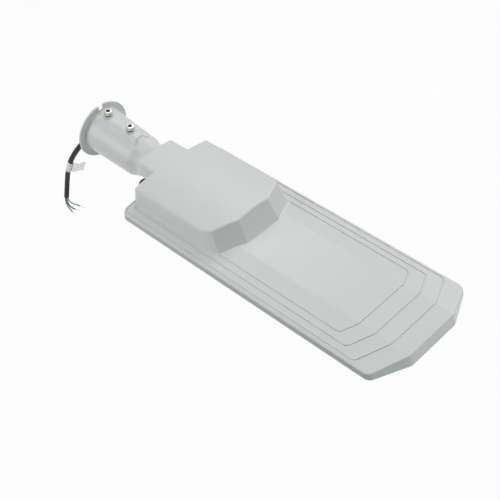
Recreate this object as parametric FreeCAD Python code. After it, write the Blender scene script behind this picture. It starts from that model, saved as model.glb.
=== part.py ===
import FreeCAD, Part
import math
import os

# LED street light head. Millimetres, +Z up, X along the length from the pole end to the tip.
# The origin is the middle of the pole socket's mouth, where the pole's axis leaves it.

V = FreeCAD.Vector
os.makedirs("parts", exist_ok=True)

# Body levels, from the underside of the rim
base_z = -26.5
rim_height = 9.0
crown_rise = 8.0
rim_z = base_z + rim_height
crown_z = rim_z + crown_rise

# Plate outline
plate_rear_x = 152.0
plate_tip_x = 639.0
plate_half = 100.5
ridge_half = 45.0
tip_setback = 25.0
tip_sweep = tip_setback / (plate_half - ridge_half)
side_draft = 5.0
tip_lean = 24.0
plate_rear_r = 14.0
plate_corner_r = 12.0
plate_ridge_r = 9.0
rim_round = 2.0
ridge_round = 8.0

# Three grooves in the crown
groove_count = 3
groove_width = 2.2
groove_depth = 0.9
groove_first_side = 5.8
groove_side_pitch = 11.1
groove_first_tip = 32.0
groove_tip_pitch = 26.0
groove_rear = 3.6
groove_corner_r = 9.0
groove_ridge_r = 12.0

# Driver box and the neck that carries on from its roof
box_rear_x = 158.0
box_shoulder_x = 310.7
box_corner_x = 325.0
box_nose_x = 344.6
box_half = 76.0
box_corner_step = 6.0
box_nose_half = 32.0
box_side_draft = 7.0
box_front_lean = 31.0
box_nose_draft = 6.0
box_height = 30.4
box_roof_r = 350.0
box_roof_rise = 0.009
box_corner_r = 4.0
box_shoulder_r = 28.0
box_round = 3.5
box_foot_round = 1.5
neck_rear_x = 121.0
neck_half = 35.0
neck_wall = 3.5
neck_corner_r = 5.0
neck_depth = 22.9
neck_undercut = 12.0
roof_top_z = crown_z + box_height

# Casting walls and the two bays on the underside
box_wall = 3.5
rear_wall = 4.0
recess_depth = 4.0
ledge_z = base_z + recess_depth
bay_rear_x = 163.0
bay_front_x = 346.0
bay_half = 82.0
bay_ledge = 10.0
bay_rear_ledge = 7.0
bay_corner_r = 8.0
bay_floor_z = -14.0
lens_rear_x = 352.0
lens_inset = 8.5
lens_ledge = 8.0
lens_screw_rear = 20.0
lens_screw_tip = 62.0
cover_screw_end = 15.0
board_ceiling_z = -18.5

# Pole socket
spigot_tilt = 4.5
flange_r = 47.0
flange_t = 3.5
tube_mouth_r = 36.4
tube_end_r = 33.2
tube_length = 91.5
pole_r = 30.0
bore_mouth_r = 31.2
bore_end_r = 30.5
stop_depth = tube_length - 2.0
stop_r = 27.0
tube_end_round = 3.0
shoulder_length = 7.0
shoulder_r = 26.0
shoulder_drop = 6.0
land_height = 36.7
land_half = 6.0
land_side_slope = 1.0
land_end_slope = 0.5
land_end_back = 2.0
land_round = 4.0
boss_r = 8.5
boss_height = 37.4
boss_places = (20.0, tube_length - 21.5)
slot_width = 9.0
tongue_rear_x = 119.5
tongue_half = 30.0
tongue_bottom_z = -17.0
tongue_top_z = 15.0
tongue_r = 8.0
tongue_wall = 4.0
tongue_gap = 0.3
post_r = 5.5
post_length = 22.0
seal_t = 1.5

# Screws: radius of the thread, head radius and head height
m8_r, m8_head_r, m8_head_h = 4.0, 6.5, 8.0
m6_r, m6_head_r, m6_head_h = 3.0, 5.0, 6.0
m4_r, m4_head_r, m4_head_h = 2.0, 3.9, 2.5
m3_r, m3_head_r, m3_head_h = 1.5, 2.8, 1.6
thread_gap = 0.1
hole_gap = 0.35
hex_share = 0.5
m8_tap_r = m8_r + thread_gap
m6_tap_r, m6_hole_r = m6_r + thread_gap, m6_r + hole_gap
m4_tap_r, m4_hole_r = m4_r + thread_gap, m4_r + hole_gap
m3_tap_r, m3_hole_r = m3_r + thread_gap, m3_r + hole_gap

# Screw lengths under the head, and how far the clamp screws stand out of their bosses
tongue_screw_length = 16.0
driver_screw_length = 8.0
cover_screw_length = 10.0
lens_screw_length = 7.2
board_screw_length = 6.0
earth_screw_length = 3.6
clamp_stand = 1.4

# Supply cable, cores and the route of the cable
cable_r = 4.25
core_r = 1.35
gland_tip_x = 138.0
cable_route = [
    (138.0, 0.0, -0.8), (106.0, 0.0, -0.8), (70.0, -5.0, -6.5), (34.0, -10.5, -10.0),
    (0.0, -14.5, -12.0), (-30.0, -20.0, -31.0), (-53.0, -24.0, -61.0), (-73.0, -25.0, -91.0),
    (-89.8, -24.3, -125.1), (-102.7, -22.8, -160.2), (-114.1, -22.7, -196.1),
]
blue_route = [
    (-115.2, -23.8, -195.9), (-117.0, -23.8, -201.6), (-114.5, -24.2, -210.1),
    (-107.6, -24.6, -217.9), (-96.1, -23.1, -226.2),
]
brown_route = [
    (-115.2, -21.1, -195.8), (-116.7, -21.0, -200.6), (-115.6, -20.3, -207.6),
    (-110.6, -20.2, -214.8), (-103.0, -17.9, -219.8), (-94.4, -12.8, -222.9),
]
earth_route = [
    (-112.5, -22.4, -196.7), (-113.9, -22.4, -201.0), (-112.6, -21.1, -206.1),
    (-108.2, -17.5, -209.7), (-100.3, -12.3, -212.7), (-87.9, -5.9, -218.0),
]
tag_height = 32.0
tag_flag = 25.5
tag_film = 0.3
tag_rise = 3.5
tag_side = (0.426, 0.872, -0.238)


def save(name, shape):
    if len(shape.Solids) == 1:
        shape = shape.Solids[0].removeSplitter()
    if not shape.isValid():
        raise RuntimeError(name + " is not a valid shape")
    shape.exportStep("parts/" + name + ".step")


def tan(degrees):
    return math.tan(math.radians(degrees))


def block(x0, x1, y0, y1, z0, z1):
    return Part.makeBox(x1 - x0, y1 - y0, z1 - z0, V(x0, y0, z0))


def rod(radius, start, end):
    start, end = V(*start), V(*end)
    return Part.makeCylinder(radius, (end - start).Length, start, end - start)


def rod_x(radius, x0, x1, y, z):
    return rod(radius, (x0, y, z), (x1, y, z))


def rod_z(radius, x, y, z0, z1):
    return rod(radius, (x, y, z0), (x, y, z1))


def group(solids):
    return Part.makeCompound(solids)


def rounded_wire(corners):
    """Closed wire through (point, radius) corners, each rounded by an arc."""
    ends = []
    count = len(corners)
    for i, (point, radius) in enumerate(corners):
        before = (corners[i - 1][0] - point).normalize()
        after = (corners[(i + 1) % count][0] - point).normalize()
        if radius <= 0:
            ends.append((point, None, point))
            continue
        half = before.getAngle(after) / 2
        reach = radius / math.tan(half)
        middle = (before + after).normalize()
        centre = point + middle * (radius / math.sin(half))
        ends.append((point + before * reach, centre - middle * radius, point + after * reach))
    edges = []
    for i, (first, middle, last) in enumerate(ends):
        if middle is not None:
            edges.append(Part.Arc(first, middle, last).toShape())
        following = ends[(i + 1) % count][0]
        if (following - last).Length > 1e-6:
            edges.append(Part.LineSegment(last, following).toShape())
    return Part.Wire(edges)


def prism(wire, height):
    return Part.Face(wire).extrude(V(0, 0, height))


def pointed_plan(z, half, tip_x, rear_x, rear_r, corner_r, ridge_r):
    """The lamp's outline: straight sides, a three-sided tip and a square rear end."""
    corner_x = tip_x - tip_sweep * (half - ridge_half)
    return rounded_wire([
        (V(rear_x, -half, z), rear_r),
        (V(corner_x, -half, z), corner_r),
        (V(tip_x, -ridge_half, z), ridge_r),
        (V(tip_x, ridge_half, z), ridge_r),
        (V(corner_x, half, z), corner_r),
        (V(rear_x, half, z), rear_r),
    ])


def crown_space(drop=0.0):
    """Everything under the plate's three-sided crown, lowered by drop."""
    reach = plate_half + 20
    slope = crown_rise / (plate_half - ridge_half)
    low = crown_z - drop - slope * (reach - ridge_half)
    top = crown_z - drop
    x = plate_rear_x - 50
    right = [(reach, base_z - 30), (reach, low), (ridge_half, top)]
    points = right + [(-y, z) for y, z in reversed(right)]
    wire = Part.makePolygon([V(x, y, z) for y, z in points + points[:1]])
    return Part.Face(wire).extrude(V(plate_tip_x - x + 50, 0, 0))


def roof_space(drop=0.0):
    """Everything under the driver box's barrel roof, which rises a little to the front."""
    reach = box_half + 30
    x = neck_rear_x - 20
    top = roof_top_z - drop + box_roof_rise * (x - box_rear_x)
    side = top - reach * reach / (2 * box_roof_r)
    arc = Part.Arc(V(x, reach, side), V(x, 0, top), V(x, -reach, side)).toShape()
    low = base_z - 40
    sides = Part.makePolygon([V(x, -reach, side), V(x, -reach, low), V(x, reach, low), V(x, reach, side)])
    length = box_nose_x - x + 60
    return Part.Face(Part.Wire([arc] + sides.Edges)).extrude(V(length, 0, length * box_roof_rise))


def box_plan(z, inset=0.0, rear_inset=0.0):
    """Outline of the driver box at height z: square rear, three-sided front, drafted walls."""
    up = z - crown_z
    back = up * tan(box_front_lean) + inset * 1.2
    half = box_half - up * tan(box_side_draft) - inset
    corner_half = half - box_corner_step
    nose_half = box_nose_half - up * tan(box_nose_draft) - inset * 0.3
    side = [
        (box_rear_x + rear_inset, half, box_corner_r),
        (box_shoulder_x - back, half, box_shoulder_r),
        (box_corner_x - back, corner_half, box_corner_r),
        (box_nose_x - back, nose_half, box_corner_r * 1.5),
    ]
    near = [(V(x, -y, z), r) for x, y, r in side]
    far = [(V(x, y, z), r) for x, y, r in reversed(side)]
    return rounded_wire(near + far)


def screw_places():
    """Where the lens screws stand, half way across the lens ledge."""
    inset = lens_inset + lens_ledge / 2
    side = plate_half - inset
    tip = plate_tip_x - inset - 1
    first = lens_rear_x + lens_screw_rear
    pitch = (plate_tip_x - tip_setback - lens_screw_tip - first) / 3
    places = [(first + pitch * i, s * side) for i in range(4) for s in (-1, 1)]
    slanted_y = (ridge_half + side) / 2
    places += [(tip - tip_sweep * (slanted_y - ridge_half), s * slanted_y) for s in (-1, 1)]
    places += [(tip, s * ridge_half / 2) for s in (-1, 1)]
    places += [(lens_rear_x + lens_ledge / 2, s * bay_half / 2) for s in (-1, 1)]
    return places


def cover_places():
    """Where the driver cover's screws stand, on the ledge around the driver bay."""
    side = bay_half - bay_ledge / 2 - 1
    first = bay_rear_x + cover_screw_end
    pitch = (bay_front_x - cover_screw_end - first) / 3
    places = [(first + pitch * i, s * side) for i in range(4) for s in (-1, 1)]
    places += [(bay_rear_x + bay_rear_ledge / 2, s * bay_half * 0.55) for s in (-1, 1)]
    places += [(bay_front_x - bay_ledge / 2, s * bay_half * 0.35) for s in (-1, 1)]
    return places


# Pieces in the driver bay hang from bosses under its roof
inside_x = box_rear_x + rear_wall
driver_x0, driver_x1 = 216.0, 316.0
driver_half = 31.0
driver_low_z, driver_top_z = -15.0, 11.0
driver_ear = 8.0
driver_ear_t = 2.0
driver_screw_y = 20.0
terminal_x0, terminal_x1 = 186.0, 202.0
terminal_x = (terminal_x0 + terminal_x1) / 2
terminal_half = 17.0
terminal_low_z, terminal_top_z = -4.0, 12.0
pole_pitch = 10.0
pinch_r = 2.2
terminal_seat = 8.0
core_z = 2.0
lead_z = -10.0
lead_half = 1.6
lead_r = 1.1
passage_z = -17.5
passage_r = 4.0
passage_end_x = 368.0
gland_z = cable_route[0][2]
gland_across = 19.0
gland_thread_r = 8.0
gland_hex_t = 5.0
gland_neck_r = 8.2
gland_neck_length = 13.0
gland_seal_r = 6.5
lock_across, lock_t = 22.0, 5.0
vent_y = -48.5
vent_z = 1.0
vent_thread_r = 6.0
vent_cap_r, vent_cap_t = 7.8, 11.0
vent_seal_r, vent_seal_t = 7.5, 1.2
earth_y, earth_z = 38.0, 4.0
tongue_bolt_y = 22.5
tongue_bolt_z = (-7.5, 6.0)
driver_ear_x = (driver_x0 - driver_ear / 2, driver_x1 + driver_ear / 2)
driver_holes = [(x, s * driver_screw_y) for x in driver_ear_x for s in (-1, 1)]
tongue_bolts = [(s * tongue_bolt_y, z) for s in (-1, 1) for z in tongue_bolt_z]
board_rear_x = 370.0
pad_t = 0.5
board_t = 1.6
chip_width, chip_t = 3.0, 0.7
lens_t = 3.0
dome_r, dome_h = 9.5, 5.0
cover_t = 2.5
washer_r, washer_t = 6.0, 1.6
lug_t = 0.8
pad_low_z = board_ceiling_z - pad_t
board_low_z = pad_low_z - board_t
led_first_x, led_pitch_x, led_tip_space = 396.0, 26.5, 34.0
led_rows = int((plate_tip_x - led_tip_space - led_first_x) / led_pitch_x) + 1
led_pitch_y, led_columns = 25.0, 6
board_screw_x = [led_first_x + led_pitch_x * (row + 0.5) for row in range(0, led_rows - 1, 3)]
board_holes = [(x, s * led_pitch_y) for x in board_screw_x for s in (-1, 1)]


def housing():
    """Die-cast top: plate with grooved crown, driver box with barrel roof, and neck."""
    over = 1.5
    radii = (plate_rear_r, plate_corner_r, plate_ridge_r)
    rise = crown_z + over - base_z
    upper_half = plate_half - rise * tan(side_draft)
    upper_tip_x = plate_tip_x - rise * tan(tip_lean)
    upper_rear_x = plate_rear_x + rise * tan(side_draft) / 2
    plate = Part.makeLoft([
        pointed_plan(base_z, plate_half, plate_tip_x, plate_rear_x, *radii),
        pointed_plan(crown_z + over, upper_half, upper_tip_x, upper_rear_x, *radii),
    ], True, True)
    plate = plate.common(crown_space())
    ridges = [e for e in plate.Edges
              if e.BoundBox.XLength > 100 and abs(abs(e.CenterOfMass.y) - ridge_half) < 0.5]
    plate = plate.makeFillet(ridge_round, ridges)
    rim = [e for e in plate.Edges if e.BoundBox.ZMin > rim_z - 1.5 and on_outline(e)]
    plate = plate.makeFillet(rim_round, rim)

    upper = Part.makeLoft([box_plan(base_z + 3), box_plan(roof_top_z + 8)], True, True)
    neck = rounded_wire([
        (V(neck_rear_x, -neck_half, 0), neck_corner_r),
        (V(box_rear_x + 12, -neck_half, 0), 0),
        (V(box_rear_x + 12, neck_half, 0), 0),
        (V(neck_rear_x, neck_half, 0), neck_corner_r),
    ])
    neck.translate(V(0, 0, roof_top_z - neck_depth - box_roof_rise))
    upper = upper.fuse(prism(neck, neck_depth + 10)).common(roof_space()).removeSplitter()
    roof = max(upper.Faces, key=lambda f: f.CenterOfMass.z)
    upper = upper.makeFillet(box_round, roof.Edges)

    body = plate.fuse(upper).removeSplitter()
    foot = [e for e in body.Edges if is_foot(e)]
    body = body.makeFillet(box_foot_round, foot)

    keep = prism(box_plan(crown_z - 4, -box_foot_round), box_height)
    keep.translate(V(0, 0, -crown_rise))
    skin = crown_space().cut(crown_space(groove_depth))
    for i in range(groove_count):
        body = body.cut(groove(i).common(skin).cut(keep))

    roof_low = tongue_top_z + tongue_gap
    channel_half = neck_half - neck_wall
    channel = block(neck_rear_x - 5, box_rear_x, -channel_half, channel_half, base_z - 5, roof_low)
    body = body.cut(channel)
    neck_low_z = roof_top_z - neck_depth - 2
    wedge = Part.makePolygon([
        V(neck_rear_x - 5, -60, roof_low), V(neck_rear_x, -60, roof_low),
        V(neck_rear_x + neck_undercut, -60, neck_low_z), V(neck_rear_x - 5, -60, neck_low_z),
        V(neck_rear_x - 5, -60, roof_low),
    ])
    body = body.cut(Part.Face(wedge).extrude(V(0, 120, 0)))

    cavity_plans = [box_plan(z, box_wall, rear_wall) for z in (bay_floor_z, roof_top_z + 8)]
    cavity = Part.makeLoft(cavity_plans, True, True).common(roof_space(box_wall))
    inner_half = bay_half - bay_ledge - 2
    lower = rounded_wire([
        (V(bay_rear_x + bay_rear_ledge, -inner_half, ledge_z), bay_corner_r),
        (V(bay_front_x - bay_ledge, -inner_half, ledge_z), bay_corner_r),
        (V(bay_front_x - bay_ledge, inner_half, ledge_z), bay_corner_r),
        (V(bay_rear_x + bay_rear_ledge, inner_half, ledge_z), bay_corner_r),
    ])
    body = body.cut(cavity.fuse(prism(lower, bay_floor_z - ledge_z + 0.5)))
    body = body.cut(cover_plan(base_z - 1, 0.0, recess_depth + 1))
    body = body.cut(lens_plan(base_z - 1, 0.0, recess_depth + 1))
    body = body.cut(lens_plan(ledge_z - 1, lens_ledge, board_ceiling_z - ledge_z + 1))
    body = body.cut(rod_x(passage_r, bay_front_x - bay_ledge - 8, passage_end_x, 0, passage_z))

    bosses = [rod_z(m4_r + 3.5, x, y, driver_top_z, roof_top_z) for x, y in driver_holes]
    pad_half = terminal_half - 3
    bosses.append(block(terminal_x0 + 2, terminal_x1 - 2, -pad_half, pad_half, terminal_top_z, roof_top_z))
    body = body.fuse(group(bosses).common(roof_space(box_wall / 2)))

    cuts = [rod_z(m4_tap_r, x, y, driver_top_z - 1, driver_top_z + 7) for x, y in driver_holes]
    cuts += [rod_z(m4_tap_r, x, y, ledge_z - 1, ledge_z + 8) for x, y in cover_places()]
    cuts += [rod_z(m4_tap_r, x, y, ledge_z - 1, ledge_z + 4) for x, y in screw_places()]
    cuts += [rod_z(m3_tap_r, x, y, board_ceiling_z - 1, board_ceiling_z + 5) for x, y in board_holes]
    cuts += [rod_z(m3_tap_r, terminal_x, y, terminal_top_z - 1, terminal_top_z + 5)
             for y in (-pole_pitch / 2, pole_pitch / 2)]
    wall_x0, wall_x1 = box_rear_x - 1, box_rear_x + rear_wall + 1
    cuts += [rod_x(m6_hole_r, wall_x0, wall_x1, y, z) for y, z in tongue_bolts]
    cuts.append(rod_x(gland_thread_r + thread_gap, wall_x0, wall_x1, 0, gland_z))
    cuts.append(rod_x(vent_thread_r + thread_gap, wall_x0, wall_x1, vent_y, vent_z))
    cuts.append(rod_x(m4_tap_r, box_rear_x + 1, wall_x1, earth_y, earth_z))
    return body.cut(cuts)


def on_outline(edge):
    """True where an edge of the crown lies along the plate's outside."""
    box = edge.BoundBox
    near, far = sorted((abs(box.YMin), abs(box.YMax)))
    wide = far > plate_half - 8 and near > ridge_half - 5
    ridge = abs(box.YMax - box.YMin) < 0.01 and abs(abs(box.YMin) - ridge_half) < 1 and box.XLength > 100
    if ridge:
        return False
    return wide or box.XMin > plate_tip_x - 45 or box.XMax < plate_rear_x + 12


def is_foot(edge):
    """True where an edge lies between the driver box's walls and the crown."""
    box = edge.BoundBox
    if box.ZMax > crown_z + 0.2 or box.ZMin < rim_z:
        return False
    inside = max(abs(box.YMin), abs(box.YMax)) < box_half + 5 and box.XMax < box_nose_x + 6
    behind = box.XMax < box_rear_x + 1
    ridge = box.XMin > box_nose_x - 4 and box.XMax > box_nose_x + 6
    return inside and not behind and not ridge


def groove(i):
    side = plate_half - 0.5 - groove_first_side - groove_side_pitch * i
    tip = plate_tip_x - groove_first_tip - groove_tip_pitch * i
    rear = plate_rear_x + groove_rear + groove_side_pitch * 0.6 * i
    half = groove_width / 2

    def ring(grow):
        corner = groove_corner_r + grow
        return prism(pointed_plan(rim_z - 6, side + grow, tip + grow, rear - grow, corner, corner,
                                  groove_ridge_r + grow), crown_rise + 14)
    return ring(half).cut(ring(-half))


def cover_plan(z, inset, height):
    r = bay_corner_r - inset
    x0, x1, half = bay_rear_x + inset, bay_front_x - inset, bay_half - inset
    places = ((x0, -half), (x1, -half), (x1, half), (x0, half))
    return prism(rounded_wire([(V(x, y, z), r) for x, y in places]), height)


def lens_plan(z, inset, height):
    half = plate_half - lens_inset - inset
    tip = plate_tip_x - lens_inset - 1 - inset
    r = 5.0
    return prism(pointed_plan(z, half, tip, lens_rear_x + inset, r, r, r), height)


def spigot():
    """Die-cast pole socket: flanged, slotted tube with a screw land, and a tongue into the neck."""
    tube = Part.makeCylinder(flange_r, flange_t, V(0, 0, 0), V(1, 0, 0))
    tube = tube.makeFillet(1.0, [e for e in tube.Edges if e.BoundBox.YLength > flange_r])
    axis = V(1, 0, 0)
    tube = tube.fuse(Part.makeCone(tube_mouth_r, tube_end_r, tube_length - flange_t, V(flange_t, 0, 0), axis))
    root = [e for e in tube.Edges if abs(e.BoundBox.XMin - flange_t) < 0.01 and e.BoundBox.XLength < 0.01
            and abs(e.BoundBox.YMax - tube_mouth_r) < 0.5]
    tube = tube.makeFillet(2.0, root)
    shoulder_x = tube_length + shoulder_length
    circles = [Part.makeCircle(tube_end_r, V(tube_length, 0, 0), axis),
               Part.makeCircle(shoulder_r, V(shoulder_x, 0, -shoulder_drop), axis)]
    tube = tube.fuse(Part.makeLoft([Part.Wire(circle) for circle in circles], True, True)).removeSplitter()
    crease = [e for e in tube.Edges
              if abs(e.BoundBox.XMin - tube_length) < 0.01 and e.BoundBox.XLength < 0.01]
    tube = tube.makeFillet(tube_end_round, crease)
    inner = bore_end_r - 2
    bosses = [rod_z(boss_r, s, 0, inner, boss_height) for s in boss_places]
    tube = tube.fuse([screw_land(inner)] + bosses).removeSplitter()
    bore = Part.makeCone(bore_mouth_r, bore_end_r, stop_depth + 1, V(-1, 0, 0), axis)
    tube = tube.cut(bore)
    tube = tube.cut(block(-1, flange_t, -slot_width / 2, slot_width / 2, land_height, flange_r + 5))
    for s in boss_places:
        tube = tube.cut(rod_z(m8_tap_r, s, 0, inner - 4, boss_height + 1))
    tube.rotate(V(0, 0, 0), V(0, 1, 0), spigot_tilt)

    end_x = box_rear_x - seal_t
    w = tongue_wall
    section = (tongue_half, tongue_bottom_z, tongue_top_z, tongue_r)
    hollow_section = (tongue_half - w, tongue_bottom_z + w, tongue_top_z - w, tongue_r - w)
    outer = transition([ring_wire(shoulder_x, shoulder_r, shoulder_drop)], section)
    outer = outer.fuse(rect_prism(tongue_rear_x, end_x, *section))
    rings = [ring_wire(tube_length, stop_r, 0.0), ring_wire(shoulder_x, shoulder_r - w, shoulder_drop)]
    hollow = transition(rings, hollow_section).fuse(rect_prism(tongue_rear_x, end_x + 1, *hollow_section))
    posts = group([rod_x(post_r, end_x - post_length, end_x, y, z) for y, z in tongue_bolts])
    stop = Part.makeCylinder(stop_r, tube_length - stop_depth + 1, V(stop_depth - 1, 0, 0), axis)
    stop.rotate(V(0, 0, 0), V(0, 1, 0), spigot_tilt)
    shape = tube.fuse(outer).cut(stop.fuse(hollow).cut(posts))
    return shape.cut([rod_x(m6_tap_r, end_x - 14, end_x + 1, y, z) for y, z in tongue_bolts])


def screw_land(low):
    """Raised strip that carries the clamp screws, with sloping sides and a soft end."""
    def level(z, grow):
        half = land_half + grow * land_side_slope
        end_x = tube_length - land_end_back + grow * land_end_slope
        start_x = flange_t / 2
        corners = ((start_x, -half), (end_x, -half), (end_x, half), (start_x, half), (start_x, -half))
        return Part.makePolygon([V(x, y, z) for x, y in corners])
    land = Part.makeLoft([level(low, land_height - low), level(land_height, 0)], True, True)
    upper = [e for e in land.Edges if e.BoundBox.ZMin > land_height - 0.01 and e.BoundBox.XMax > flange_t]
    return land.makeFillet(land_round, upper)


def ring_wire(x, radius, drop):
    """Round section of the tilted tube, in eight arcs that match the tongue's sides and corners."""
    span = 25.0
    starts = [quarter + side * span for quarter in (-90, 0, 90, 180) for side in (-1, 1)]
    edges = []
    for a, b in zip(starts, starts[1:] + [starts[0] + 360]):
        turns = [math.radians(t) for t in (a, (a + b) / 2, b)]
        trio = [V(x, radius * math.cos(t), radius * math.sin(t) - drop) for t in turns]
        edges.append(Part.Arc(*trio).toShape())
    ring = Part.Wire(edges)
    ring.rotate(V(0, 0, 0), V(0, 1, 0), spigot_tilt)
    return ring


def transition(rings, section):
    """Ruled loft from the tilted round end of the tube to the upright tongue section."""
    return Part.makeLoft(rings + [rect_wire(tongue_rear_x, *section)], True, True)


def rect_wire(x, half, low, top, r):
    corners = [(half, low, -45), (half, top, 45), (-half, top, 135), (-half, low, 225)]
    points = []
    for y, z, angle in corners:
        cy, cz = y - math.copysign(r, y), (z + r) if z == low else (z - r)
        turns = [math.radians(t) for t in (angle - 45, angle, angle + 45)]
        points.append([V(x, cy + r * math.cos(t), cz + r * math.sin(t)) for t in turns])
    edges = []
    for i, (first, middle, last) in enumerate(points):
        before = points[i - 1][2]
        edges.append(Part.LineSegment(before, first).toShape())
        edges.append(Part.Arc(first, middle, last).toShape())
    return Part.Wire(edges)


def rect_prism(x0, x1, half, low, top, r):
    return Part.Face(rect_wire(x0, half, low, top, r)).extrude(V(x1 - x0, 0, 0))


def hex_bar(across, start, end):
    """Hexagonal bar of that size across flats, between two points."""
    start, end = V(*start), V(*end)
    axis = (end - start)
    side = V(0, 0, 1) if abs(axis.x) > abs(axis.z) else V(1, 0, 0)
    radius = across / math.sqrt(3)
    turn = FreeCAD.Rotation(axis, 60)
    points = [side * radius]
    for _ in range(5):
        points.append(turn.multVec(points[-1]))
    points = [start + p for p in points]
    return Part.Face(Part.makePolygon(points + points[:1])).extrude(axis)


def cap_screw(seat, direction, length, head_r, head_h, thread_r):
    """Socket-head screw: seat is under the head, direction points to the thread's tip."""
    seat, direction = V(*seat), V(*direction).normalize()
    head = Part.makeCylinder(head_r, head_h, seat, direction * -1)
    rims = [e for e in head.Edges if (e.CenterOfMass - (seat - direction * head_h)).Length < 0.01]
    head = head.makeChamfer(head_r * 0.08, rims)
    shank = Part.makeCylinder(thread_r, length, seat, direction)
    tips = [e for e in shank.Edges if (e.CenterOfMass - (seat + direction * length)).Length < 0.01]
    shank = shank.makeChamfer(thread_r * 0.2, tips)
    outer_end = seat - direction * (head_h + 1)
    socket_end = seat - direction * (head_h * 0.45)
    key = hex_bar(head_r * 2 * hex_share, tuple(outer_end), tuple(socket_end))
    return head.fuse(shank).cut(key)


def pan_screw(x, y, seat_z, length, head_r, head_h, thread_r):
    """Low-headed screw driven upwards, with its head below seat_z."""
    head = Part.makeCylinder(head_r, head_h, V(x, y, seat_z - head_h))
    rims = [e for e in head.Edges if abs(e.CenterOfMass.z - (seat_z - head_h)) < 0.01]
    head = head.makeFillet(head_h * 0.45, rims)
    shank = Part.makeCylinder(thread_r, length, V(x, y, seat_z))
    key = hex_bar(head_r * 2 * hex_share, (x, y, seat_z - head_h - 1), (x, y, seat_z - head_h * 0.4))
    return head.fuse(shank).cut(key)


def tube_path(points):
    """Straight runs joined by tangent arcs, each arc as large as its two runs allow."""
    points = [V(*p) for p in points]
    edges, radii = [], []
    last = points[0]
    for before, here, after in zip(points, points[1:], points[2:]):
        back, on = before - here, after - here
        turn = math.pi - back.getAngle(on)
        reach = 0.45 * min(back.Length, on.Length)
        radii.append(reach / math.tan(turn / 2))
        back.normalize()
        on.normalize()
        middle = (back + on).normalize()
        centre = here + middle * (radii[-1] / math.cos(turn / 2))
        first, end = here + back * reach, here + on * reach
        edges.append(Part.LineSegment(last, first).toShape())
        edges.append(Part.Arc(first, centre - middle * radii[-1], end).toShape())
        last = end
    edges.append(Part.LineSegment(last, points[-1]).toShape())
    return Part.Wire(edges), radii


def tube(points, radius):
    path, radii = tube_path(points)
    heading = V(*points[1]) - V(*points[0])
    disc = Part.Wire(Part.makeCircle(radius, V(*points[0]), heading))
    solid = path.makePipeShell([disc], True, False)
    return solid, path.Length, radii


def gland_body():
    x = box_rear_x
    hex_end_x = x - gland_hex_t
    body = hex_bar(gland_across, (hex_end_x, 0, gland_z), (x, 0, gland_z))
    body = body.fuse(rod_x(gland_thread_r, x, x + rear_wall + 6, 0, gland_z))
    body = body.fuse(rod_x(gland_neck_r, x - gland_neck_length, hex_end_x, 0, gland_z))
    body = body.cut(rod_x(gland_seal_r + thread_gap, x - gland_neck_length - 1, x - 3, 0, gland_z))
    return body.cut(rod_x(cable_r + thread_gap, x - 4, x + rear_wall + 7, 0, gland_z))


def gland_nut():
    x = box_rear_x
    nut_x = x - gland_neck_length - 2
    nut = hex_bar(gland_across, (nut_x, 0, gland_z), (x - gland_hex_t - 0.3, 0, gland_z))
    tip = V(gland_tip_x, 0, gland_z)
    dome = Part.makeCone(gland_seal_r, gland_across / 2, nut_x - gland_tip_x, tip, V(1, 0, 0))
    nut = nut.fuse(dome)
    nut = nut.cut(rod_x(gland_neck_r + thread_gap, x - gland_neck_length - 0.2, x, 0, gland_z))
    return nut.cut(rod_x(cable_r + thread_gap, gland_tip_x - 1, x - 10, 0, gland_z))


def gland_seal():
    x = box_rear_x
    sleeve = rod_x(gland_seal_r, x - gland_neck_length, x - 3.1, 0, gland_z)
    return sleeve.cut(rod_x(cable_r + 0.05, x - gland_neck_length - 1, x - 2, 0, gland_z))


def vent_plug():
    """Breather plug: knurled cap with a seat for its ring and a hollow thread."""
    x = box_rear_x
    cap = rod_x(vent_cap_r, x - vent_cap_t, x - vent_seal_t, vent_y, vent_z)
    cap = cap.makeFillet(1.6, [e for e in cap.Edges if e.BoundBox.XMax < x - vent_cap_t + 0.1])
    for i in range(12):
        angle = math.radians(30 * i)
        reach = vent_cap_r + 0.3
        y, z = vent_y + reach * math.cos(angle), vent_z + reach * math.sin(angle)
        cap = cap.cut(rod_x(0.9, x - vent_cap_t + 2.5, x, y, z))
    end_x = x + rear_wall + 4
    stem = rod_x(vent_thread_r, x - 2, end_x, vent_y, vent_z)
    return cap.fuse(stem).cut(rod_x(vent_thread_r / 2, x - 8, end_x + 1, vent_y, vent_z))


def led_places():
    middle = (led_columns - 1) / 2
    for row in range(led_rows):
        for column in range(led_columns):
            yield led_first_x + led_pitch_x * row, led_pitch_y * (column - middle)


def lens_plate():
    """Moulded optic plate with a lens dome under each LED."""
    plate = lens_plan(base_z, hole_gap, lens_t)
    ball_r = (dome_r ** 2 + dome_h ** 2) / (2 * dome_h)
    domes = []
    for x, y in led_places():
        ball = Part.makeSphere(ball_r, V(x, y, base_z - dome_h + ball_r))
        domes.append(ball.common(block(x - 12, x + 12, y - 12, y + 12, base_z - dome_h - 1, base_z + 1)))
    plate = plate.fuse(domes)
    return plate.cut([rod_z(m4_hole_r, x, y, base_z - 1, ledge_z) for x, y in screw_places()])


def led_board(z, thickness):
    board = lens_plan(z, 0, thickness)
    rear = block(lens_rear_x - 5, board_rear_x, -plate_half, plate_half, z - 1, z + thickness + 1)
    edge = lens_plan(z - 1, lens_ledge + 1.5, thickness + 2)
    board = board.common(edge).cut(rear)
    return board.cut([rod_z(m3_hole_r, x, y, z - 1, z + thickness + 1) for x, y in board_holes])


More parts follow.
